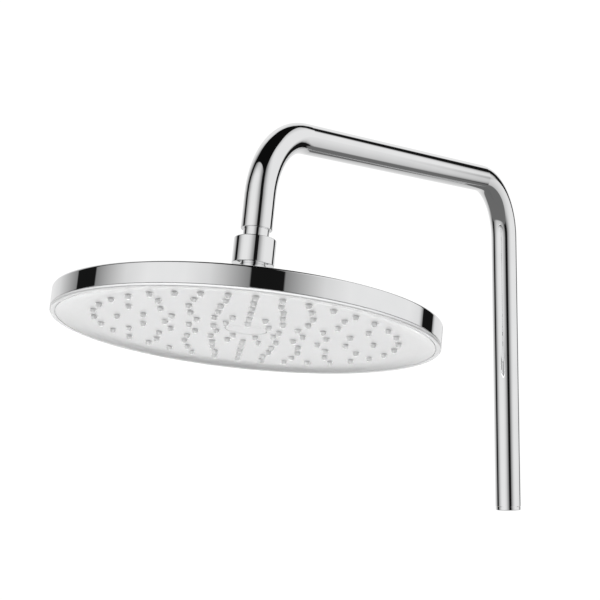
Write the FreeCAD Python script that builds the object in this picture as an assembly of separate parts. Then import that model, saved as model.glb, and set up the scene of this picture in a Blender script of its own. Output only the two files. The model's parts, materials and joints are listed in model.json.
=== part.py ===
import FreeCAD, Part
import os
from math import acos, asin, cos, degrees, pi, radians, sin, sqrt, tan

# Overhead shower of a wall shower system, in millimetres, +Z up.
# The origin is the centre of the riser's lower end. The riser stands along +Z, the arm reaches out
# along -Y and the wall is on the +Y side. The outlet, the ball joint and the head are made on an
# upright axis with the ball's centre at zero, and are then leaned into place.

# Pipe
pipe_diameter = 22.0
pipe_wall = 1.0
arm_height = 285.0
arm_reach = 380.0
riser_bend_radius = 48.0
outlet_bend_radius = 58.0
outlet_lean = 11.5
outlet_drop = 71.6
mouth_round = 0.5

# Fits
running_gap = 0.08
solder_gap = 0.05
thread_gap = 0.1
ball_gap = 0.1
end_gap = 0.3
overrun = 2.0

# Inlet in the riser's lower end
coupling_flange = 3.0
coupling_insert = 42.0
flange_setback = 0.2
flange_round = 0.5
inlet_thread_diameter = 11.445
inlet_thread_depth = 13.0
inlet_bore_diameter = 9.0
sleeve_wall = 1.2
sleeve_length = 46.0
o_ring_section = 1.8
o_ring_room_share = 1.35
coupling_ring_shares = (0.55, 0.70)
glide_ring_wall = 1.0
glide_ring_height = 4.0
glide_ring_shares = (0.14, 0.88)

# Grub screw and the groove that stops the swing
swing_limit = 60.0
stop_groove_share = 0.36
stop_groove_depth = 1.6
grub_diameter = 4.0
grub_tip_diameter = 2.8
grub_tip_gap = 0.4
grub_sink = 0.3
grub_key_diameter = 2.2
grub_key_depth = 1.2

# Outlet nipple and nut
neck_diameter = 18.2
neck_length = 6.8
nipple_insert = 16.0
nipple_bore_diameter = 13.0
nipple_thread_diameter = 20.955
nut_diameter = 29.4
nut_height = 18.5
nut_floor = 3.5
nut_round = 0.8
thread_relief = 1.4

# Washer, filter and regulator
washer_thickness = 2.2
washer_bore_diameter = 13.0
screen_thickness = 0.4
screen_lap = 0.9
screen_hole_diameter = 1.1
screen_hole_pitch = 1.9
regulator_diameter = 13.6
regulator_height = 4.4
regulator_ring_section = 1.4
regulator_hole_diameter = 1.8
regulator_hole_share = 0.55
regulator_hole_count = 6

# Ball joint
ball_diameter = 26.0
ball_cut_share = 0.8
ball_bore_diameter = 11.0
stem_diameter = 17.5
stem_gap = 0.2
ball_flange = 2.2
ball_below_nut = 15.0
liner_wall = 1.2
tilt_limit = 10.0
tilt_spare = 1.5
liner_top_angle = 66.0
liner_span = 16.0
seat_span = 10.0
seal_span = 10.5
cup_end_angle = 130.0
retainer_open_angle = 63.5
retainer_diameter = 39.0
retainer_collar = 2.2
retainer_crown = 10.3
retainer_top_diameter = 29.0
retainer_skirt = 2.6
retainer_round = 0.8
retainer_notches = 4
notch_width = 4.0
notch_depth = 1.6

# Head
head_diameter = 265.0
rim_below_ball = 17.2
rim_height = 15.8
rim_edge_round = 1.0
lip_width = 3.0
lip_round = 0.4
lip_inner_round = 0.3
shell_wall = 2.2
dome_rise = 10.8
dome_mid_share = 0.62
dome_mid_rise_share = 0.62
dome_round = 120.0
boss_diameter = 41.0
boss_top = 1.0
boss_floor = 13.3
boss_round = 5.0
boss_thread_diameter = 35.0
boss_thread_depth = 3.0
passage_diameter = 19.4
passage_drop = 2.0
spigot_diameter = 22.0
spigot_bore_diameter = 15.2
spigot_length = 6.5
pillar_diameter = 7.6
web_thickness = 2.0
web_height = 5.0
web_count = 3
ledge_width = 2.6
ledge_height = 2.0

# Spray plate
face_recess = 2.9
plate_thickness = 2.5
plate_gap = 0.3
trim_height = 1.9
trim_gap = 0.25
trim_width = 3.4
trim_round = 1.0
face_groove_width = 0.5
face_groove_depth = 0.9
face_groove_round = 0.15
plate_edge_lift = 0.1
plate_edge_width = 0.6
cove_width = 17.0
sleeve_height = 4.8
sleeve_diameter = 11.0
screw_boss_diameter = 6.4
screw_inset = 3.8
screw_count = 12

# Nozzles: counts from the inner ring outwards, and how far each ring crowds towards its two poles
first_ring_radius = 22.5
nozzle_margin = 25.7
nozzle_counts = (9, 16, 16, 18, 20, 34)
nozzle_crowding = (0.0, 9.0, 0.0, 5.5, 11.0, 3.0)
nozzle_heading = -53.4
nozzle_diameter = 4.4
nozzle_tip_diameter = 2.8
nozzle_length = 2.5
nozzle_tip_round = 0.5
nozzle_bore_diameter = 1.2
nozzle_mouth_diameter = 2.4
nozzle_gap = 0.15
nozzle_sink_width = 0.4
nozzle_sink_depth = 0.4

# Mat and chamber cover
mat_thickness = 1.8
mat_edge_width = 7.0
chamber_height = 3.5
cover_thickness = 2.0
cover_flange = 8.0
skirt_width = 3.5
hub_wall = 2.4
hub_gap = 0.15

# Screws
plate_screw_diameter = 3.0
plate_screw_head_diameter = 5.6
plate_screw_head_height = 1.7
plate_screw_length = 6.6
centre_screw_diameter = 4.0
centre_screw_head_diameter = 8.0
centre_screw_head_height = 1.9
centre_screw_length = 8.5
centre_screw_room = 0.3
screw_key_share = 0.5
screw_key_depth_share = 0.6

# Centre cap
cap_diameter = 28.0
cap_thickness = 1.2
cap_gap = 0.4
cap_round = 0.3

# Radii
pipe_r = pipe_diameter / 2
pipe_bore_r = pipe_r - pipe_wall
sleeve_outer_r = pipe_bore_r - solder_gap
sleeve_bore_r = sleeve_outer_r - sleeve_wall
coupling_r = sleeve_bore_r - 2 * running_gap
ball_r = ball_diameter / 2
stem_r = stem_diameter / 2
nut_bore_r = nipple_thread_diameter / 2 + thread_gap
washer_r = nipple_thread_diameter / 2 - thread_gap
liner_inner_r = ball_r + ball_gap
liner_outer_r = liner_inner_r + liner_wall
cup_r = liner_outer_r + ball_gap
rim_r = head_diameter / 2
lip_bore_r = rim_r - lip_width
plate_r = lip_bore_r - plate_gap
boss_r = boss_diameter / 2
spigot_r = spigot_diameter / 2
hub_bore_r = spigot_r + hub_gap
nozzle_r = nozzle_diameter / 2
outer_ring_r = plate_r - nozzle_margin
ring_pitch = (outer_ring_r - first_ring_radius) / (len(nozzle_counts) - 1)
mat_r = outer_ring_r + mat_edge_width
cover_r = mat_r + cover_flange
screw_circle_r = cover_r - screw_inset

# Angles down from the outlet's axis, with room for the head's tilt between the ball's three rings
liner_angles = (liner_top_angle, liner_top_angle + liner_span)
seat_top_angle = liner_angles[1] + tilt_limit + tilt_spare
seat_angles = (seat_top_angle, seat_top_angle + seat_span)
seal_top_angle = seat_angles[1] + tilt_limit + tilt_spare
seal_angles = (seal_top_angle, seal_top_angle + seal_span)

# Levels on the outlet's axis, up from the ball's centre
nut_low = ball_below_nut
nut_top = nut_low + nut_height
pipe_end = nut_top + neck_length
flange_low = nut_low + nut_floor
flange_top = flange_low + ball_flange
washer_top = flange_top + washer_thickness
rim_top = -rim_below_ball
lip_low = rim_top - rim_height
band_low = lip_low + trim_height
face_low = lip_low + face_recess
plate_top = face_low + plate_thickness
mat_top = plate_top + mat_thickness
cover_low = mat_top + chamber_height
cover_top = cover_low + cover_thickness
pillar_low = plate_top + sleeve_height
spigot_low = -boss_floor - spigot_length
cap_top = face_low + cap_thickness
screw_seat = cap_top + centre_screw_head_height + centre_screw_room

# Levels on the riser
pipe_start = coupling_flange + end_gap
coupling_top = coupling_flange + coupling_insert
stop_level = coupling_flange + stop_groove_share * coupling_insert


def lathe(outline, angle=360.0):
    """Turn an outline of (radius, level) corners about Z.

    A third number rounds its corner. ("via", radius, level) bends the run between its neighbours.
    """
    corners = [c for c in outline if c[0] != "via"]
    bends = {}
    for place, item in enumerate(outline):
        if item[0] == "via":
            bends[sum(1 for c in outline[:place] if c[0] != "via") - 1] = point(item[1], item[2])
    enter, leave, edges = [], [], []
    for i, corner in enumerate(corners):
        here = point(corner[0], corner[1])
        if len(corner) < 3:
            enter.append(here)
            leave.append(here)
            continue
        before = point(*corners[i - 1][:2]).sub(here).normalize()
        after = point(*corners[(i + 1) % len(corners)][:2]).sub(here).normalize()
        half = before.getAngle(after) / 2
        reach = corner[2] / tan(half)
        enter.append(here + before * reach)
        leave.append(here + after * reach)
        inward = (before + after).normalize()
        middle = here + inward * (corner[2] / sin(half) - corner[2])
        edges.append(Part.Arc(enter[i], middle, leave[i]).toShape())
    for i in range(len(corners)):
        far = enter[(i + 1) % len(corners)]
        if i in bends:
            edges.append(Part.Arc(leave[i], bends[i], far).toShape())
        else:
            edges.append(Part.LineSegment(leave[i], far).toShape())
    wire = Part.Wire(Part.__sortEdges__(edges))
    return Part.Face(wire).revolve(point(0, 0), FreeCAD.Vector(0, 0, 1), angle)


def point(radius, level):
    """Point of an outline, in the plane of X and Z."""
    return FreeCAD.Vector(radius, 0, level)


def polar(radius, angle):
    """Corner on a circle about the ball's centre, at an angle down from the axis."""
    return (radius * sin(radians(angle)), radius * cos(radians(angle)))


def via(radius, first, last):
    """Bend of an outline along a circle about the ball's centre."""
    return ("via",) + polar(radius, (first + last) / 2)


def zone(inner, outer, angles):
    """Ring between two spheres about the ball's centre."""
    top, low = angles
    return lathe([polar(inner, top), via(inner, top, low), polar(inner, low),
                  polar(outer, low), via(outer, low, top), polar(outer, top)])


def disc(radius, low, top):
    """Upright cylinder on the axis."""
    return Part.makeCylinder(radius, top - low, point(0, low))


def ring(bore, radius, low, top):
    """Plain ring on the axis."""
    return lathe([(bore, low), (radius, low), (radius, top), (bore, top)])


def seal(inner, section, level):
    """O-ring on the axis."""
    return Part.makeTorus(inner + section / 2, section / 2, point(0, level))


def hexagon(diameter, low, top):
    """Hexagonal key recess."""
    corner = [FreeCAD.Vector(diameter / 2 * cos(k * pi / 3), diameter / 2 * sin(k * pi / 3), low)
              for k in range(6)]
    return Part.Face(Part.makePolygon(corner + corner[:1])).extrude(point(0, top - low))


def moved_out(shape, radius, angle):
    """Copy of a shape, moved out from the axis."""
    copy = shape.copy()
    copy.translate(FreeCAD.Vector(radius * cos(angle), radius * sin(angle), 0))
    return copy


def around(shape, count, radius):
    """Copies of a shape on a circle about the axis."""
    return [moved_out(shape, radius, 2 * pi * k / count) for k in range(count)]


def spokes(shape, count):
    """Copies of a shape turned about the axis."""
    copies = []
    for k in range(count):
        copy = shape.copy()
        copy.rotate(point(0, 0), FreeCAD.Vector(0, 0, 1), 360.0 * k / count)
        copies.append(copy)
    return copies


def at_nozzles(shape):
    """Copies of a shape at every nozzle."""
    copies = []
    for k, (count, crowding) in enumerate(zip(nozzle_counts, nozzle_crowding)):
        for step in range(count):
            even = 2 * pi * step / count
            angle = radians(nozzle_heading) + even - radians(crowding) * sin(2 * even)
            copies.append(moved_out(shape, first_ring_radius + k * ring_pitch, angle))
    return copies


def grooved(radius, grooves):
    """Outside of a shaft, from below, with (level, width, groove radius) grooves."""
    outline = []
    for level, width, floor in sorted(grooves):
        low, top = level - width / 2, level + width / 2
        outline += [(radius, low), (floor, low), (floor, top), (radius, top)]
    return outline


def coupling_levels(shares):
    """Levels on the coupling's insert."""
    return [coupling_flange + share * coupling_insert for share in shares]


def coupling_groove_r():
    """Floor of the coupling's O-ring grooves."""
    return sleeve_bore_r - o_ring_section - 2 * running_gap


def inlet_coupling():
    """Coupling that the arm turns on, threaded for the supply, with its seal and bearing grooves."""
    thread_r = inlet_thread_diameter / 2
    bore_r = inlet_bore_diameter / 2
    flange_r = pipe_r - flange_setback
    grooves = [(z, o_ring_section * o_ring_room_share, coupling_groove_r())
               for z in coupling_levels(coupling_ring_shares)]
    grooves += [(z, glide_ring_height + 2 * running_gap, coupling_r - glide_ring_wall)
                for z in coupling_levels(glide_ring_shares)]
    body = lathe([(thread_r, 0), (flange_r, 0, flange_round), (flange_r, coupling_flange),
                  (coupling_r, coupling_flange)] + grooved(coupling_r, grooves)
                 + [(coupling_r, coupling_top), (bore_r, coupling_top), (bore_r, inlet_thread_depth),
                    (thread_r, inlet_thread_depth)])
    tip_room = grub_tip_diameter / 2 + grub_tip_gap
    floor_r = coupling_r - stop_groove_depth
    half = swing_limit + degrees(asin(tip_room / floor_r))
    slot = lathe([(floor_r, stop_level - tip_room), (coupling_r + overrun, stop_level - tip_room),
                  (coupling_r + overrun, stop_level + tip_room), (floor_r, stop_level + tip_room)], 2 * half)
    slot.rotate(point(0, 0), FreeCAD.Vector(0, 0, 1), 90.0 - half)
    return body.cut(slot)


def coupling_o_rings():
    """Two water seals between coupling and sleeve."""
    return Part.makeCompound([seal(coupling_groove_r() + running_gap, o_ring_section, z)
                              for z in coupling_levels(coupling_ring_shares)])


def glide_rings():
    """Two plastic rings that the sleeve turns on."""
    inner = coupling_r - glide_ring_wall + solder_gap
    outer = sleeve_bore_r - running_gap
    half = glide_ring_height / 2
    return Part.makeCompound([ring(inner, outer, z - half, z + half)
                              for z in coupling_levels(glide_ring_shares)])


def pipe_path():
    """Middle line of the pipe: riser, bend, arm, bend and outlet."""
    turn = radians(90.0 - outlet_lean)
    arm_start = riser_bend_radius
    arm_end = arm_reach - outlet_bend_radius * tan(turn / 2)
    first = FreeCAD.Vector(0, -riser_bend_radius, arm_height - riser_bend_radius)
    second = FreeCAD.Vector(0, -arm_end, arm_height - outlet_bend_radius)

    def on_bend(centre, radius, angle):
        return centre + FreeCAD.Vector(0, -radius * sin(angle), radius * cos(angle))

    start = point(0, pipe_start)
    riser_top = on_bend(first, riser_bend_radius, -pi / 2)
    arm_wall_end = FreeCAD.Vector(0, -arm_start, arm_height)
    arm_far_end = FreeCAD.Vector(0, -arm_end, arm_height)
    outlet_top = on_bend(second, outlet_bend_radius, turn)
    return Part.Wire([
        Part.LineSegment(start, riser_top).toShape(),
        Part.Arc(riser_top, on_bend(first, riser_bend_radius, -pi / 4), arm_wall_end).toShape(),
        Part.LineSegment(arm_wall_end, arm_far_end).toShape(),
        Part.Arc(arm_far_end, on_bend(second, outlet_bend_radius, turn / 2), outlet_top).toShape(),
        Part.LineSegment(outlet_top, outlet_place().multVec(point(0, pipe_end))).toShape()])


def outlet_place():
    """Where the outlet's upright axis goes: the ball's centre, leaned away from the wall."""
    drop = outlet_drop + pipe_end
    lean = radians(outlet_lean)
    centre = FreeCAD.Vector(0, -arm_reach - drop * sin(lean), arm_height - drop * cos(lean))
    return FreeCAD.Placement(centre, FreeCAD.Rotation(FreeCAD.Vector(1, 0, 0), -outlet_lean))


def swept(radius):
    """Round bar along the pipe's middle line."""
    section = Part.Wire(Part.makeCircle(radius, point(0, pipe_start), FreeCAD.Vector(0, 0, 1)))
    return pipe_path().makePipeShell([section], True, False)


def radial(shape):
    """Lay an upright shape along +Y at the grub screw's level."""
    shape.rotate(point(0, 0), FreeCAD.Vector(1, 0, 0), -90.0)
    shape.translate(point(0, stop_level))
    return shape


def grub_hole():
    """Threaded hole for the grub screw, through pipe and sleeve."""
    return radial(disc(grub_diameter / 2 + thread_gap, coupling_r, pipe_r + overrun))


def gooseneck_pipe():
    """Bent pipe with its bore, rounded at its mouth."""
    bar = swept(pipe_r)
    mouth = outlet_place().multVec(point(0, pipe_end))
    edges = [e for e in bar.Edges if e.CenterOfMass.distanceToPoint(mouth) < end_gap]
    return bar.makeFillet(mouth_round, edges).cut(swept(pipe_bore_r)).cut(grub_hole())


def riser_sleeve():
    """Sleeve soldered into the riser's lower end."""
    return ring(sleeve_bore_r, sleeve_outer_r, pipe_start, pipe_start + sleeve_length).cut(grub_hole())


def grub_screw():
    """Headless screw whose tip runs in the coupling's groove."""
    tip = coupling_r - stop_groove_depth + grub_tip_gap
    outer = pipe_r - grub_sink
    tip_r = grub_tip_diameter / 2
    body_r = grub_diameter / 2
    body = lathe([(0, tip), (tip_r, tip), (tip_r, sleeve_bore_r), (body_r, sleeve_bore_r),
                  (body_r, outer), (0, outer)])
    return radial(body.cut(hexagon(grub_key_diameter, outer - grub_key_depth, outer + overrun)))


def outlet_nipple():
    """Neck soldered into the pipe's end, with the thread that takes the nut."""
    bore = nipple_bore_diameter / 2
    neck = neck_diameter / 2
    thread = nipple_thread_diameter / 2
    thread_top = nut_top - thread_relief
    return lathe([(bore, washer_top), (thread, washer_top), (thread, thread_top), (neck, thread_top),
                  (neck, pipe_end), (sleeve_outer_r, pipe_end), (sleeve_outer_r, pipe_end + nipple_insert),
                  (bore, pipe_end + nipple_insert)])


def swivel_nut():
    """Round nut that pulls the ball's flange up to the nipple."""
    radius = nut_diameter / 2
    return lathe([(stem_r + stem_gap, nut_low), (radius, nut_low, nut_round), (radius, nut_top, nut_round),
                  (nut_bore_r, nut_top), (nut_bore_r, flange_low), (stem_r + stem_gap, flange_low)])


def filter_washer():
    """Rubber washer with a groove that holds the screen."""
    bore = washer_bore_diameter / 2
    groove = bore + screen_lap + running_gap
    middle = (flange_top + washer_top) / 2
    low = middle - screen_thickness / 2 - running_gap
    top = middle + screen_thickness / 2 + running_gap
    return lathe([(bore, flange_top), (washer_r, flange_top), (washer_r, washer_top), (bore, washer_top),
                  (bore, top), (groove, top), (groove, low), (bore, low)])


def filter_screen():
    """Perforated steel disc."""
    radius = washer_bore_diameter / 2 + screen_lap
    low = (flange_top + washer_top - screen_thickness) / 2
    top = low + screen_thickness
    reach = washer_bore_diameter / 2 - screen_hole_diameter
    rows = int(reach / screen_hole_pitch)
    hole = disc(screen_hole_diameter / 2, low - overrun, top + overrun)
    holes = []
    for column in range(-rows, rows + 1):
        for row in range(-rows, rows + 1):
            across, along = column * screen_hole_pitch, row * screen_hole_pitch
            if sqrt(across ** 2 + along ** 2) < reach:
                holes.append(hole.copy().translated(FreeCAD.Vector(across, along, 0)))
    return disc(radius, low, top).cut(Part.makeCompound(holes))


def regulator_groove_r():
    """Floor of the regulator's seal groove."""
    return regulator_diameter / 2 - regulator_ring_section


def regulator_level():
    """Middle of the regulator's height."""
    return flange_top - regulator_height / 2


def flow_regulator():
    """Plastic insert with a ring of small holes and a seal groove."""
    radius = regulator_diameter / 2
    low = flange_top - regulator_height
    groove = (regulator_level(), regulator_ring_section * o_ring_room_share, regulator_groove_r())
    body = lathe([(0, low), (radius, low)] + grooved(radius, [groove])
                 + [(radius, flange_top), (0, flange_top)])
    hole = disc(regulator_hole_diameter / 2, low - overrun, flange_top + overrun)
    circle = regulator_groove_r() * regulator_hole_share
    return body.cut(Part.makeCompound(around(hole, regulator_hole_count, circle)))


def regulator_o_ring():
    """Seal round the regulator."""
    return seal(regulator_groove_r(), regulator_ring_section, regulator_level())


def swivel_ball():
    """Flanged stem and ball with the waterway through them."""
    bore = ball_bore_diameter / 2
    seat_r = regulator_diameter / 2 + running_gap
    seat_low = flange_top - regulator_height
    low = -ball_cut_share * ball_r
    return lathe([(bore, low), (sqrt(ball_r ** 2 - low ** 2), low), ("via", ball_r, 0),
                  (stem_r, sqrt(ball_r ** 2 - stem_r ** 2)), (stem_r, flange_low), (washer_r, flange_low),
                  (washer_r, flange_top), (seat_r, flange_top), (seat_r, seat_low), (bore, seat_low)])


def upper_liner():
    """Plastic liner over the ball."""
    return zone(liner_inner_r, liner_outer_r, liner_angles)


def lower_seat():
    """Plastic seat under the ball."""
    return zone(liner_inner_r, liner_outer_r, seat_angles)


def ball_seal():
    """Rubber ring that seals the ball in its cup."""
    return zone(liner_inner_r, liner_outer_r, seal_angles)


def ball_retainer():
    """Ring screwed into the boss, which traps the ball."""
    low = boss_top - retainer_skirt
    low_angle = degrees(acos(low / cup_r))
    skirt_r = boss_thread_diameter / 2 - thread_gap
    outer = retainer_diameter / 2
    collar_top = boss_top + retainer_collar
    top = boss_top + retainer_crown
    crown_r = retainer_top_diameter / 2
    body = lathe([polar(cup_r, retainer_open_angle), via(cup_r, retainer_open_angle, low_angle),
                  polar(cup_r, low_angle), (skirt_r, low), (skirt_r, boss_top), (outer, boss_top),
                  (outer, collar_top, retainer_round), (crown_r, top, retainer_round),
                  (polar(cup_r, retainer_open_angle)[0], top)])
    notch = Part.makeBox(notch_depth + overrun, notch_width, retainer_crown + overrun,
                         FreeCAD.Vector(outer - notch_depth, -notch_width / 2, boss_top))
    return body.cut(Part.makeCompound(spokes(notch, retainer_notches)))


def dome_level(radius):
    """Outer level of the shell's dome."""
    mid_r = dome_mid_share * rim_r
    mid_rise = dome_mid_rise_share * dome_rise
    if radius > mid_r:
        return rim_top + mid_rise * (rim_r - radius) / (rim_r - mid_r)
    return rim_top + mid_rise + (dome_rise - mid_rise) * (mid_r - radius) / (mid_r - boss_r)


def hub_ring_level():
    """Level of the hub's seal, half way down the spigot."""
    return -boss_floor - spigot_length / 2


def hub_groove_r():
    """Floor of the spigot's seal groove."""
    return hub_bore_r - o_ring_section - 2 * running_gap


def back_shell():
    """Chrome back: boss with the ball's cup, dome, rim band, lip, and the inlet spigot with its pillar."""
    bore_low = boss_top - boss_thread_depth
    bore_angle = degrees(acos(bore_low / cup_r))
    passage_r = passage_diameter / 2
    cup_low = polar(cup_r, cup_end_angle)
    floor_top = cup_low[1] - passage_drop
    spigot_bore_r = spigot_bore_diameter / 2
    band_r = rim_r - shell_wall
    mid_r = dome_mid_share * rim_r
    ledge_r = lip_bore_r - ledge_width
    spigot = grooved(spigot_r, [(hub_ring_level(), o_ring_section * o_ring_room_share, hub_groove_r())])
    body = lathe([
        (boss_thread_diameter / 2, boss_top), (boss_r, boss_top, retainer_round),
        (boss_r, dome_level(boss_r), boss_round), (mid_r, dome_level(mid_r), dome_round),
        (rim_r, rim_top, rim_edge_round), (rim_r, band_low, lip_round),
        (lip_bore_r, band_low, lip_inner_round), (lip_bore_r, plate_top), (ledge_r, plate_top),
        (ledge_r, plate_top + ledge_height), (band_r, plate_top + ledge_height),
        (band_r, dome_level(band_r) - shell_wall), (mid_r, dome_level(mid_r) - shell_wall, dome_round),
        (boss_r, dome_level(boss_r) - shell_wall), (boss_r, -boss_floor), (spigot_r, -boss_floor)]
        + list(reversed(spigot))
        + [(spigot_r, spigot_low), (spigot_bore_r, spigot_low), (spigot_bore_r, floor_top),
           (passage_r, floor_top), (passage_r, cup_low[1]), cup_low, via(cup_r, cup_end_angle, bore_angle),
           polar(cup_r, bore_angle), (boss_thread_diameter / 2, bore_low)])
    web_low = spigot_low
    web = Part.makeBox((spigot_bore_r + hub_groove_r()) / 2, web_thickness, web_height,
                       FreeCAD.Vector(0, -web_thickness / 2, web_low))
    pillar = disc(pillar_diameter / 2, pillar_low, web_low + web_height)
    body = body.multiFuse(spokes(web, web_count) + [pillar])
    screw_room = disc(centre_screw_diameter / 2 + running_gap, pillar_low - overrun,
                      screw_seat + centre_screw_length + running_gap)
    return body.cut(screw_room).removeSplitter()


def hub_o_ring():
    """Seal between spigot and hub."""
    return seal(hub_groove_r() + running_gap, o_ring_section, hub_ring_level())


def chamber_cover():
    """Lid of the water chamber, with the hub that takes the spigot."""
    skirt_bore = mat_r - skirt_width
    hub_top = -boss_floor - end_gap
    body = lathe([(hub_bore_r, cover_low), (skirt_bore, cover_low), (skirt_bore, mat_top), (mat_r, mat_top),
                  (mat_r, cover_low), (cover_r, cover_low), (cover_r, cover_top),
                  (hub_bore_r + hub_wall, cover_top), (hub_bore_r + hub_wall, hub_top),
                  (hub_bore_r, hub_top)])
    hole = disc(plate_screw_diameter / 2 + thread_gap, cover_low - overrun, cover_top + overrun)
    return body.cut(Part.makeCompound(around(hole, screw_count, screw_circle_r)))


def nozzle_mat():
    """Silicone mat whose nozzles pass through the plate."""
    tip = face_low - nozzle_length
    root = plate_top + mat_thickness / 2
    nub = lathe([(0, tip), (nozzle_tip_diameter / 2, tip, nozzle_tip_round), (nozzle_r, face_low),
                 (nozzle_r, root), (0, root)])
    bore = lathe([(0, tip - overrun), (nozzle_bore_diameter / 2, tip - overrun),
                  (nozzle_bore_diameter / 2, face_low), (nozzle_mouth_diameter / 2, plate_top),
                  (nozzle_mouth_diameter / 2, mat_top + overrun), (0, mat_top + overrun)])
    sheet = ring(sleeve_diameter / 2 + end_gap, mat_r, plate_top, mat_top)
    return sheet.multiFuse(at_nozzles(nub)).cut(Part.makeCompound(at_nozzles(bore)))


def spray_plate():
    """Face plate: flat middle, coved edge, trim under the band, nozzle holes, sleeve and screw bosses."""
    cap_room = cap_diameter / 2 + cap_gap
    head_room = centre_screw_head_diameter / 2 + centre_screw_room
    shank_room = centre_screw_diameter / 2 + running_gap
    edge_low = lip_low + plate_edge_lift
    trim_top = band_low - trim_gap
    groove_out = rim_r - trim_width
    groove_in = groove_out - face_groove_width
    groove_top = lip_low + face_groove_depth
    cove_out = groove_in - plate_edge_width
    cove_in = cove_out - cove_width
    cove_drop = face_low - edge_low
    cove_r = (cove_width ** 2 + cove_drop ** 2) / (2 * cove_drop)
    half_turn = asin(cove_width / cove_r) / 2
    body = lathe([(shank_room, screw_seat), (head_room, screw_seat), (head_room, cap_top),
                  (cap_room, cap_top), (cap_room, face_low), (cove_in, face_low),
                  ("via", cove_in + cove_r * sin(half_turn), face_low - cove_r * (1 - cos(half_turn))),
                  (cove_out, edge_low), (groove_in, edge_low, face_groove_round), (groove_in, groove_top),
                  (groove_out, groove_top), (groove_out, lip_low, face_groove_round),
                  (rim_r, lip_low, trim_round), (rim_r, trim_top), (plate_r, trim_top), (plate_r, plate_top),
                  (sleeve_diameter / 2, plate_top), (sleeve_diameter / 2, pillar_low),
                  (shank_room, pillar_low)])
    boss = disc(screw_boss_diameter / 2, plate_top, cover_low)
    body = body.multiFuse(around(boss, screw_count, screw_circle_r))
    pilot = disc(plate_screw_diameter / 2 + running_gap, cover_top - plate_screw_length - running_gap,
                 cover_low + overrun)
    room = nozzle_r + nozzle_gap
    hole = lathe([(0, face_low - overrun), (room + nozzle_sink_width, face_low - overrun),
                  (room + nozzle_sink_width, face_low), (room, face_low + nozzle_sink_depth),
                  (room, plate_top + overrun), (0, plate_top + overrun)])
    cuts = around(pilot, screw_count, screw_circle_r) + at_nozzles(hole)
    return body.cut(Part.makeCompound(cuts))


def screw(diameter, head_diameter, head_height, length, seat):
    """Screw with its shank up from the seat and its head below it."""
    low = seat - head_height
    body = lathe([(0, low), (head_diameter / 2, low, head_height / 2), (head_diameter / 2, seat),
                  (diameter / 2, seat), (diameter / 2, seat + length), (0, seat + length)])
    key = hexagon(head_diameter * screw_key_share, low - overrun, low + head_height * screw_key_depth_share)
    return body.cut(key)


def plate_screws():
    """Screws that clamp cover, mat and plate, put in from above."""
    one = screw(plate_screw_diameter, plate_screw_head_diameter, plate_screw_head_height,
                plate_screw_length, 0)
    one.rotate(point(0, 0), FreeCAD.Vector(1, 0, 0), 180.0)
    one.translate(point(0, cover_top))
    return Part.makeCompound(around(one, screw_count, screw_circle_r))


def centre_screw():
    """Screw that holds the plate up to the shell's pillar."""
    return screw(centre_screw_diameter, centre_screw_head_diameter, centre_screw_head_height,
                 centre_screw_length, screw_seat)


def centre_cap():
    """Plain disc over the centre screw, flush with the face."""
    radius = cap_diameter / 2
    return lathe([(0, face_low), (radius, face_low, cap_round), (radius, cap_top), (0, cap_top)])


riser_pieces = (inlet_coupling, coupling_o_rings, glide_rings, gooseneck_pipe, riser_sleeve, grub_screw)
outlet_pieces = (outlet_nipple, swivel_nut, filter_washer, filter_screen, flow_regulator, regulator_o_ring,
                 swivel_ball, upper_liner, lower_seat, ball_seal, ball_retainer, back_shell, hub_o_ring,
                 chamber_cover, nozzle_mat, spray_plate, plate_screws, centre_screw, centre_cap)

os.makedirs("parts", exist_ok=True)
for piece in riser_pieces + outlet_pieces:
    shape = piece()
    if piece in outlet_pieces:
        shape.Placement = outlet_place().multiply(shape.Placement)
    shape.exportStep("parts/" + piece.__name__ + ".step")
    print(piece.__name__, shape.isValid(), len(shape.Solids), round(shape.Volume, 1))
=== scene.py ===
import json
from math import cos, pi, radians, sin, sqrt, tan

import bmesh
import bpy
from mathutils import Matrix, Vector


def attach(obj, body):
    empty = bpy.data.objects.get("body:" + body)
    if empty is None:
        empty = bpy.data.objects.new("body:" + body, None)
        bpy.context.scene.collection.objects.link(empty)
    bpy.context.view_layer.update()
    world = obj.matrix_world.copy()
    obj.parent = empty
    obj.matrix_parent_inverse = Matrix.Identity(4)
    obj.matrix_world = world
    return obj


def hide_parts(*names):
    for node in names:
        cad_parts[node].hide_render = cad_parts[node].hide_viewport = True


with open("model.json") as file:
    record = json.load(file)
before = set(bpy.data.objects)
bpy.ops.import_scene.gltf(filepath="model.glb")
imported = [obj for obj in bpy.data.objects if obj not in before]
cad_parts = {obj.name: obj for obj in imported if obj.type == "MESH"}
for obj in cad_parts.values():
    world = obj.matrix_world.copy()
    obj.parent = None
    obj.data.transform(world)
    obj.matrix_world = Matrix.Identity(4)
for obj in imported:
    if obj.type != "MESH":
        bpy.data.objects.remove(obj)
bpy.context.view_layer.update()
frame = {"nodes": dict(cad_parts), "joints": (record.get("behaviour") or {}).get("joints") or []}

nodes = frame["nodes"]

# Camera, fitted to the outlines of the pipe and the head
camera_place = (0.662852, -1.402826, 0.102641)
camera_azimuth = 31.919
camera_look_up = 3.0247
camera_roll = -0.5294
camera_lens = 105.96
camera_sensor = 36.0
camera_clip = 60.0
level_view = 90.0

# Head: the outlet's axis, the ball's centre, and the level of the face along that axis
head_turn = next(j for j in frame["joints"] if j["name"] == "head_turn")
outlet_up = Vector(head_turn["axis"])
ball_centre = Vector(head_turn["pos_m"])
face_level = min(outlet_up.dot(v.co) for v in nodes["centre_cap"].data.vertices)

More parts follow.
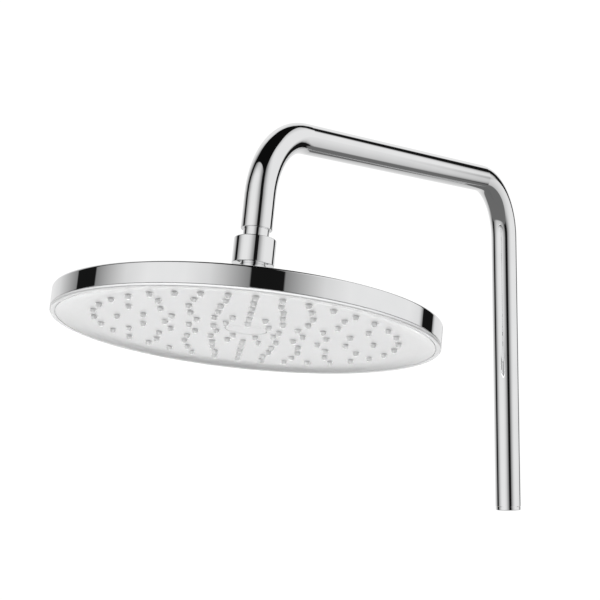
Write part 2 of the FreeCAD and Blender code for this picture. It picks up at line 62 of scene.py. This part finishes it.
# Back of the head in millimetres, as radii from the outlet's axis and levels up from the ball's centre.
# The rim's top edge is a little rounder than the solid's, so that it mirrors as a dark line.
rim_radius = 132.5
rim_top = -17.2
rim_round = 1.6
band_low = -31.1
band_round = 0.4
lip_radius = 129.5
lip_round = 0.3
ledge_radius = 126.9
ledge_low = -27.6
ledge_top = -25.6
shell_wall = 2.2
dome_rise = 10.8
dome_middle_share = 0.62
dome_middle_rise_share = 0.62
dome_round = 120.0
boss_radius = 20.5
boss_top = 1.0
boss_floor = -13.3
boss_edge_round = 0.8
boss_foot_round = 5.0
thread_radius = 17.5
thread_low = -2.0
cup_radius = 14.4
cup_angles = (130.0, 120.0, 110.0)
passage_radius = 9.7
passage_drop = 2.0
spigot_radius = 11.0
spigot_bore_radius = 7.6
spigot_low = -19.8

# Fineness of the turned back: steps in a rounding, the short straight on either side of it, steps in a
# turn, and the angle from which an edge is sharp
arc_steps = 10
arc_hold = 0.15
turn_steps = 480
sharp_angle = 40.0
millimetre = 0.001

# Finishes. A noise is (scale per metre, detail). The colour runs from dark to light and the roughness
# from low to high over the middle of its noise; the relief has a height in metres.
noise_middle = (0.3, 0.7)
finishes = {
    # Polished chrome with the faint haze of polishing
    "chrome_plate": {
        "metallic": 1.0,
        "colour": ((60.0, 4.0), (0.93, 0.935, 0.94), (0.955, 0.957, 0.96)),
        "roughness": ((240.0, 3.0), 0.008, 0.016)},
    # Smooth white moulding with a faint mottle and a fine moulded grain
    "white_moulding": {
        "ior": 1.54,
        "colour": ((35.0, 3.0), (0.73, 0.733, 0.736), (0.75, 0.752, 0.754)),
        "roughness": ((400.0, 2.0), 0.12, 0.17),
        "relief": ((2500.0, 2.0), 0.00002)},
    # Black seal rubber with a dusty bloom
    "black_rubber": {
        "colour": ((300.0, 4.0), (0.012, 0.012, 0.013), (0.03, 0.03, 0.03)),
        "roughness": ((300.0, 4.0), 0.5, 0.7),
        "relief": ((3000.0, 2.0), 0.00002)},
    # Natural moulded plastic, matt
    "natural_plastic": {
        "colour": ((90.0, 3.0), (0.70, 0.70, 0.67), (0.78, 0.78, 0.75)),
        "roughness": ((700.0, 2.0), 0.42, 0.55),
        "relief": ((3500.0, 2.0), 0.00002)},
    # Turned brass, a little tarnished
    "turned_brass": {
        "metallic": 1.0,
        "colour": ((150.0, 4.0), (0.58, 0.42, 0.17), (0.74, 0.56, 0.27)),
        "roughness": ((900.0, 3.0), 0.2, 0.36)},
    # Stainless steel with fine turning marks
    "stainless_steel": {
        "metallic": 1.0,
        "colour": ((1200.0, 3.0), (0.52, 0.52, 0.53), (0.64, 0.64, 0.64)),
        "roughness": ((1200.0, 3.0), 0.22, 0.36),
        "relief": ((1200.0, 3.0), 0.00001)},
}
finished_nodes = {
    "chrome_plate": ("inlet_coupling", "gooseneck_pipe", "outlet_nipple", "swivel_nut", "swivel_ball",
                     "ball_retainer", "back_shell"),
    "white_moulding": ("spray_plate", "centre_cap"),
    "black_rubber": ("coupling_o_rings", "filter_washer", "regulator_o_ring", "ball_seal", "hub_o_ring"),
    "natural_plastic": ("glide_rings", "flow_regulator", "upper_liner", "lower_seat", "chamber_cover"),
    "turned_brass": ("riser_sleeve",),
    "stainless_steel": ("grub_screw", "filter_screen", "plate_screws", "centre_screw"),
}

# Silicone of the nozzles: a painted contact shade at the face, its own colour at a depth below it in metres,
# and their cloudiness
nozzle_painted_shade_colours = ((0.95, 0.952, 0.954), (0.985, 0.986, 0.987))
nozzle_painted_shade_depth = 0.0004
nozzle_cloud = ((500.0, 2.0), -0.06, 0.06)
nozzle_roughness = ((900.0, 2.0), 0.26, 0.36)
nozzle_ior = 1.41

# Studio: three tall soft boxes about the object, with dark gaps, a dark ceiling and a grey floor. Angles
# are in degrees, azimuths from the front towards +x; a gap leans by a share of the angle up or down. A
# slope is the height over the level distance.
gap_azimuths = (-76.5, 46.0, 162.3)
gap_half_widths = (8.4, 9.5, 7.3)
gap_leans = (0.0, 0.0, 0.4)
fade_shares = (1.0, 1.0, 8.0)
box_half_turn = 60.0
box_fade_angle = 40.0
box_edge_light = 0.23
box_inner_light = 0.70
box_full_light = 0.81
box_edge_share = 0.025
box_inner_share = 0.62
box_top_slope = 1.8
box_low_slope = 0.78
box_rim_share = 0.62
box_rim_slope = 0.7
edge_sharpness = 12.0
least_level = 0.001
half_circle = 180.0
dark_light = 0.004
low_light = 0.14
backdrop_light = 1.05

# Soft fill lights: (heading, angular width, strength), from behind and below, from the front above, and
# level from the front
fills = (((0.47, -0.64, 0.38), 40.0, 9.0),
         ((-0.43, 0.70, -0.57), 60.0, 2.8),
         ((-0.55, 0.83, 0.0), 20.0, 0.5))

# Floor, so far down that a view from below still sees the object
floor_drop = 1.8
floor_size = 14.0
floor_colour = ((3.0, 2.0), (0.88, 0.88, 0.88), (0.92, 0.92, 0.92))
floor_roughness = 0.8
floor_glow = 0.8
white = (1.0, 1.0, 1.0, 1.0)


def new_material(name):
    """An empty node material with a Principled shader; returns (material, tree, shader)."""
    material = bpy.data.materials.new(name)
    material.use_nodes = True
    tree = material.node_tree
    tree.nodes.clear()
    shader = tree.nodes.new("ShaderNodeBsdfPrincipled")
    output = tree.nodes.new("ShaderNodeOutputMaterial")
    tree.links.new(shader.outputs["BSDF"], output.inputs["Surface"])
    return material, tree, shader


def noise(tree, grain):
    """Noise over the object's own coordinates, in metres."""
    place = tree.nodes.new("ShaderNodeTexCoord")
    texture = tree.nodes.new("ShaderNodeTexNoise")
    texture.inputs["Scale"].default_value, texture.inputs["Detail"].default_value = grain
    tree.links.new(place.outputs["Object"], texture.inputs["Vector"])
    return texture.outputs["Fac"]


def spread(tree, grain, low, high):
    """A value from low to high over the middle of a noise."""
    node = tree.nodes.new("ShaderNodeMapRange")
    node.inputs["From Min"].default_value, node.inputs["From Max"].default_value = noise_middle
    node.inputs["To Min"].default_value = low
    node.inputs["To Max"].default_value = high
    tree.links.new(noise(tree, grain), node.inputs["Value"])
    return node.outputs["Result"]


def tint(tree, grain, dark, light):
    """A colour from dark to light over the middle of a noise."""
    ramp = tree.nodes.new("ShaderNodeValToRGB")
    for stop, position, colour in zip(ramp.color_ramp.elements, noise_middle, (dark, light)):
        stop.position = position
        stop.color = (*colour, 1.0)
    tree.links.new(noise(tree, grain), ramp.inputs["Fac"])
    return ramp.outputs["Color"]


def finish(name, colour, roughness, relief=None, metallic=0.0, ior=None):
    """A material from one row of the finishes."""
    material, tree, shader = new_material(name)
    shader.inputs["Metallic"].default_value = metallic
    if ior is not None:
        shader.inputs["IOR"].default_value = ior
    tree.links.new(tint(tree, *colour), shader.inputs["Base Color"])
    tree.links.new(spread(tree, *roughness), shader.inputs["Roughness"])
    if relief is not None:
        grain, height = relief
        bump = tree.nodes.new("ShaderNodeBump")
        bump.inputs["Strength"].default_value = 1.0
        bump.inputs["Distance"].default_value = height
        tree.links.new(noise(tree, grain), bump.inputs["Height"])
        tree.links.new(bump.outputs["Normal"], shader.inputs["Normal"])
    return material


def nozzle_silicone():
    """Milky silicone, with a little painted contact shade where it stands in the plate."""
    material, tree, shader = new_material("grey_silicone")
    place = tree.nodes.new("ShaderNodeTexCoord")
    along = tree.nodes.new("ShaderNodeVectorMath")
    along.operation = "DOT_PRODUCT"
    tree.links.new(place.outputs["Object"], along.inputs[0])
    along.inputs[1].default_value = outlet_up
    # Painted contact shade: darker at the face, fading to the silicone's own colour a little way below it
    painted_shade = tree.nodes.new("ShaderNodeMapRange")
    painted_shade.inputs["From Min"].default_value = face_level
    painted_shade.inputs["From Max"].default_value = face_level - nozzle_painted_shade_depth
    tree.links.new(along.outputs["Value"], painted_shade.inputs["Value"])
    ramp = tree.nodes.new("ShaderNodeValToRGB")
    for stop, shade in zip(ramp.color_ramp.elements, nozzle_painted_shade_colours):
        stop.color = (*shade, 1.0)
    clouded = math_node(tree, "ADD", painted_shade.outputs["Result"], spread(tree, *nozzle_cloud))
    tree.links.new(clouded, ramp.inputs["Fac"])
    tree.links.new(ramp.outputs["Color"], shader.inputs["Base Color"])
    tree.links.new(spread(tree, *nozzle_roughness), shader.inputs["Roughness"])
    shader.inputs["IOR"].default_value = nozzle_ior
    return material


def math_node(tree, operation, first, second=None):
    """One Math node; first and second are sockets or numbers."""
    node = tree.nodes.new("ShaderNodeMath")
    node.operation = operation
    for socket, value in zip(node.inputs, (first, second)):
        if value is None:
            continue
        if isinstance(value, bpy.types.NodeSocket):
            tree.links.new(value, socket)
        else:
            socket.default_value = value
    return node.outputs[0]


def clamped(tree, value):
    """A value held between 0 and 1."""
    node = tree.nodes.new("ShaderNodeClamp")
    tree.links.new(value, node.inputs["Value"])
    return node.outputs["Result"]


def wrapped_distance(tree, azimuth, centre):
    """Angle in degrees between an azimuth and a gap's middle, both sockets or numbers."""
    wrap = tree.nodes.new("ShaderNodeMath")
    wrap.operation = "WRAP"
    tree.links.new(math_node(tree, "SUBTRACT", azimuth, centre), wrap.inputs[0])
    wrap.inputs[1].default_value = half_circle
    wrap.inputs[2].default_value = -half_circle
    return math_node(tree, "ABSOLUTE", wrap.outputs[0])


def box_ramp(tree, share):
    """Light across a soft box, from its edge inwards."""
    ramp = tree.nodes.new("ShaderNodeValToRGB")
    stops = ramp.color_ramp.elements
    stops[0].position = 0.0
    stops[1].position = 1.0
    lights = ((stops[0], dark_light), (stops.new(box_edge_share), box_edge_light),
              (stops.new(box_inner_share), box_inner_light), (stops[-1], box_full_light))
    for stop, light in lights:
        stop.color = (light, light, light, 1.0)
    tree.links.new(share, ramp.inputs["Fac"])
    return ramp.outputs["Color"]


def studio_light(tree):
    """Light that reaches the object from each direction, as a socket."""
    place = tree.nodes.new("ShaderNodeTexCoord")
    split = tree.nodes.new("ShaderNodeSeparateXYZ")
    tree.links.new(place.outputs["Generated"], split.inputs["Vector"])
    x, y, z = split.outputs
    azimuth = math_node(tree, "DEGREES", math_node(tree, "ARCTAN2", x, math_node(tree, "MULTIPLY", y, -1.0)))
    level = math_node(tree, "SQRT", math_node(tree, "ADD", math_node(tree, "MULTIPLY", x, x),
                                              math_node(tree, "MULTIPLY", y, y)))
    slope = math_node(tree, "DIVIDE", z, math_node(tree, "MAXIMUM", level, least_level))
    height = math_node(tree, "DEGREES", math_node(tree, "ARCTANGENT", math_node(tree, "ABSOLUTE", slope)))
    nearest = inside = None
    for centre, half, lean, fade in zip(gap_azimuths, gap_half_widths, gap_leans, fade_shares):
        middle = math_node(tree, "ADD", math_node(tree, "MULTIPLY", height, lean), centre)
        away = wrapped_distance(tree, azimuth, middle)
        beyond = math_node(tree, "MULTIPLY", math_node(tree, "SUBTRACT", away, half), fade / box_fade_angle)
        nearest = away if nearest is None else math_node(tree, "MINIMUM", nearest, away)
        inside = beyond if inside is None else math_node(tree, "MINIMUM", inside, beyond)
    aside = math_node(tree, "RADIANS", math_node(tree, "SUBTRACT", box_half_turn, nearest))
    facing = math_node(tree, "COSINE", aside)
    under_top = math_node(tree, "SUBTRACT", math_node(tree, "MULTIPLY", facing, box_top_slope), slope)
    over_low = math_node(tree, "ADD", math_node(tree, "MULTIPLY", facing, box_low_slope), slope)
    top_share = clamped(tree, math_node(tree, "MULTIPLY", under_top, edge_sharpness))
    low_share = clamped(tree, math_node(tree, "MULTIPLY", over_low, edge_sharpness))
    from_rim = math_node(tree, "DIVIDE", math_node(tree, "MINIMUM", under_top, over_low), box_rim_slope)
    grade = math_node(tree, "ADD", math_node(tree, "MULTIPLY", clamped(tree, from_rim), 1.0 - box_rim_share),
                      box_rim_share)
    upright = math_node(tree, "MULTIPLY", math_node(tree, "MULTIPLY", top_share, low_share), grade)
    boxes = math_node(tree, "MULTIPLY", box_ramp(tree, inside), upright)
    below = math_node(tree, "MULTIPLY", math_node(tree, "SUBTRACT", 1.0, low_share), low_light)
    return math_node(tree, "ADD", math_node(tree, "ADD", boxes, below), dark_light)


def studio_world():
    """White surroundings for the eye; soft boxes with dark gaps for the reflections."""
    world = bpy.data.worlds.new("studio")
    bpy.context.scene.world = world
    world.use_nodes = True
    tree = world.node_tree
    tree.nodes.clear()
    boxes = tree.nodes.new("ShaderNodeBackground")
    tree.links.new(studio_light(tree), boxes.inputs["Color"])
    backdrop = tree.nodes.new("ShaderNodeBackground")
    backdrop.inputs["Color"].default_value = white
    backdrop.inputs["Strength"].default_value = backdrop_light
    path = tree.nodes.new("ShaderNodeLightPath")
    mix = tree.nodes.new("ShaderNodeMixShader")
    tree.links.new(path.outputs["Is Camera Ray"], mix.inputs["Fac"])
    tree.links.new(boxes.outputs["Background"], mix.inputs[1])
    tree.links.new(backdrop.outputs["Background"], mix.inputs[2])
    output = tree.nodes.new("ShaderNodeOutputWorld")
    tree.links.new(mix.outputs["Shader"], output.inputs["Surface"])


def fill_lights():
    """Soft lights that brighten the white face; the chrome doesn't mirror them."""
    for number, (heading, width, strength) in enumerate(fills):
        data = bpy.data.lights.new("fill_%d" % number, "SUN")
        data.angle = radians(width)
        data.energy = strength
        light = bpy.data.objects.new(data.name, data)
        light.rotation_euler = Vector(heading).to_track_quat("-Z", "Y").to_euler()
        light.visible_camera = False
        light.visible_glossy = False
        bpy.context.scene.collection.objects.link(light)


def pale_floor():
    """Plain pale floor that glows evenly, like a light table."""
    mesh = bpy.data.meshes.new("floor")
    half = floor_size / 2.0
    corners = [(-half, -half, -floor_drop), (half, -half, -floor_drop),
               (half, half, -floor_drop), (-half, half, -floor_drop)]
    mesh.from_pydata(corners, [], [(0, 1, 2, 3)])
    floor = bpy.data.objects.new("floor", mesh)
    bpy.context.scene.collection.objects.link(floor)
    material, tree, shader = new_material("pale_floor")
    tree.links.new(tint(tree, *floor_colour), shader.inputs["Base Color"])
    shader.inputs["Roughness"].default_value = floor_roughness
    shader.inputs["Emission Color"].default_value = white
    shader.inputs["Emission Strength"].default_value = floor_glow
    mesh.materials.append(material)
    floor.visible_glossy = False
    floor.visible_diffuse = False
    floor.visible_shadow = False


def photo_camera():
    """Camera at the photograph's viewing angle."""
    data = bpy.data.cameras.new("photo_camera")
    data.sensor_width = camera_sensor
    data.lens = camera_lens
    data.clip_end = camera_clip
    camera = bpy.data.objects.new("photo_camera", data)
    turn = (Matrix.Rotation(radians(camera_azimuth), 4, "Z")
            @ Matrix.Rotation(radians(level_view + camera_look_up), 4, "X")
            @ Matrix.Rotation(radians(camera_roll), 4, "Z"))
    camera.matrix_world = Matrix.Translation(camera_place) @ turn
    bpy.context.scene.collection.objects.link(camera)
    bpy.context.scene.camera = camera


def shell_outline():
    """Closed outline of the head's back, as corners (radius, level) or (radius, level, rounding)."""
    middle_radius = dome_middle_share * rim_radius
    middle_rise = dome_middle_rise_share * dome_rise
    middle_level = rim_top + middle_rise
    boss_foot = rim_top + dome_rise
    inner_radius = rim_radius - shell_wall
    inner_top = rim_top + middle_rise * shell_wall / (rim_radius - middle_radius) - shell_wall
    cup = [(cup_radius * sin(radians(angle)), cup_radius * cos(radians(angle))) for angle in cup_angles]
    cup_low = cup[0][1]
    passage_low = cup_low - passage_drop
    return [
        (thread_radius, boss_top), (boss_radius, boss_top, boss_edge_round),
        (boss_radius, boss_foot, boss_foot_round), (middle_radius, middle_level, dome_round),
        (rim_radius, rim_top, rim_round), (rim_radius, band_low, band_round),
        (lip_radius, band_low, lip_round), (lip_radius, ledge_low), (ledge_radius, ledge_low),
        (ledge_radius, ledge_top), (inner_radius, ledge_top), (inner_radius, inner_top),
        (middle_radius, middle_level - shell_wall, dome_round), (boss_radius, boss_foot - shell_wall),
        (boss_radius, boss_floor), (spigot_radius, boss_floor), (spigot_radius, spigot_low),
        (spigot_bore_radius, spigot_low), (spigot_bore_radius, passage_low),
        (passage_radius, passage_low), (passage_radius, cup_low), *cup,
        (sqrt(cup_radius ** 2 - thread_low ** 2), thread_low), (thread_radius, thread_low)]


def rounded(outline):
    """Points of a closed outline, with its roundings cut into short runs."""
    points = []
    for i, corner in enumerate(outline):
        here = Vector(corner[:2])
        if len(corner) < 3:
            points.append(here)
            continue
        rounding = corner[2]
        before = (Vector(outline[i - 1][:2]) - here).normalized()
        after = (Vector(outline[(i + 1) % len(outline)][:2]) - here).normalized()
        half = before.angle(after) / 2.0
        reach = rounding / tan(half)
        centre = here + (before + after).normalized() * (rounding / sin(half))
        first = here + before * reach - centre
        last = here + after * reach - centre
        points.append(here + before * (reach + arc_hold))
        for step in range(arc_steps + 1):
            points.append(centre + first.lerp(last, step / arc_steps).normalized() * rounding)
        points.append(here + after * (reach + arc_hold))
    return points


def turned_shell(material):
    """Back of the head, turned finely so that its edges mirror in clean lines."""
    points = rounded(shell_outline())
    count = len(points)
    side = Vector((1.0, 0.0, 0.0))
    front = outlet_up.cross(side)
    corners = []
    faces = []
    for turn in range(turn_steps):
        angle = 2.0 * pi * turn / turn_steps
        outward = side * cos(angle) + front * sin(angle)
        corners += [ball_centre + (outward * p.x + outlet_up * p.y) * millimetre for p in points]
        here = turn * count
        there = (turn + 1) % turn_steps * count
        for k in range(count):
            after = (k + 1) % count
            faces.append((here + k, there + k, there + after, here + after))
    mesh = bpy.data.meshes.new("turned_shell")
    mesh.from_pydata(corners, [], faces)
    work = bmesh.new()
    work.from_mesh(mesh)
    bmesh.ops.recalc_face_normals(work, faces=work.faces)
    work.to_mesh(mesh)
    work.free()
    mesh.shade_smooth()
    mesh.set_sharp_from_angle(angle=radians(sharp_angle))
    mesh.materials.append(material)
    shell = bpy.data.objects.new("turned_shell", mesh)
    bpy.context.scene.collection.objects.link(shell)
    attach(shell, "head")
    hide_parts("back_shell")


def dress(names, material):
    """Gives CAD nodes a material."""
    for name in names:
        for slot in nodes[name].material_slots:
            slot.material = material


bpy.context.scene.view_settings.view_transform = "Standard"
studio_world()
fill_lights()
pale_floor()
photo_camera()
materials = {name: finish(name, **row) for name, row in finishes.items()}
turned_shell(materials["chrome_plate"])
for name, names in finished_nodes.items():
    dress(names, materials[name])
dress(("nozzle_mat",), nozzle_silicone())
